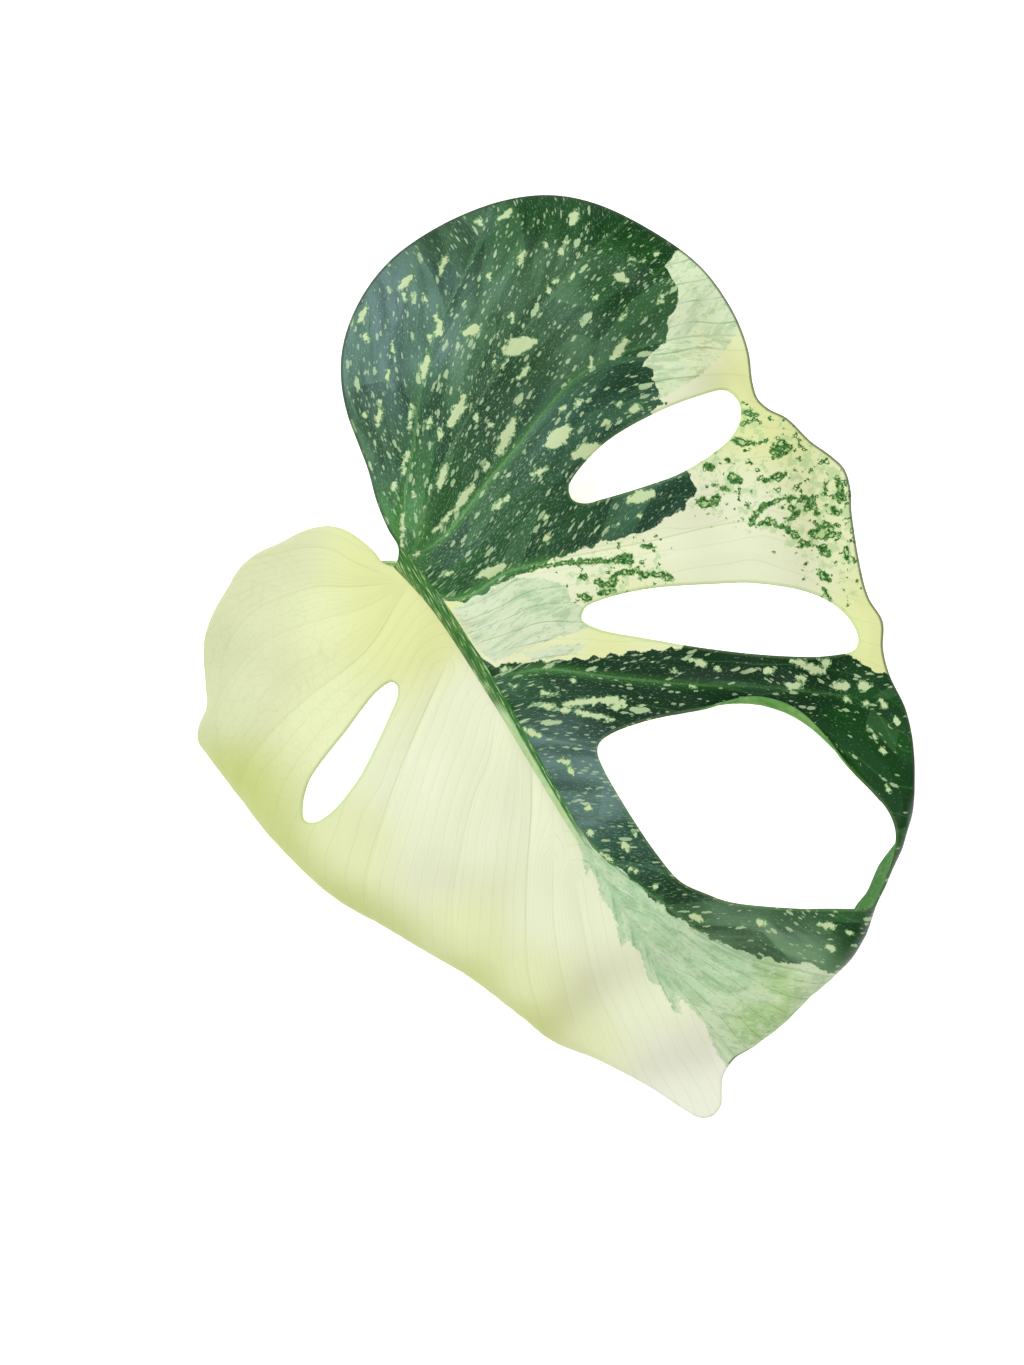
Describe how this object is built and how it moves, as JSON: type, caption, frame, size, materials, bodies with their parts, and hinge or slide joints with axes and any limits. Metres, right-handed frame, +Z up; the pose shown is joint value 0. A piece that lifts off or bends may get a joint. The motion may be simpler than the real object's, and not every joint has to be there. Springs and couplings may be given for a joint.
{
  "type": "monstera leaf",
  "caption": "Picked variegated monstera leaf lying face up: heart-shaped blade, natural holes, margins curled under, short cut stalk.",
  "frame": {"origin": "under the middle of the leaf, on the surface it lies on", "axes": "+Y from the leaf's tip towards its basal lobes, +Z up out of its upper face, +X towards the green half"},
  "size_m": [0.154, 0.2006, 0.0201],
  "materials": {
    "leaf": "waxy satin upper face, duller paler back"
  },
  "bodies": {
    "root": {"monstera_leaf": "leaf"}
  },
  "joints": []
}
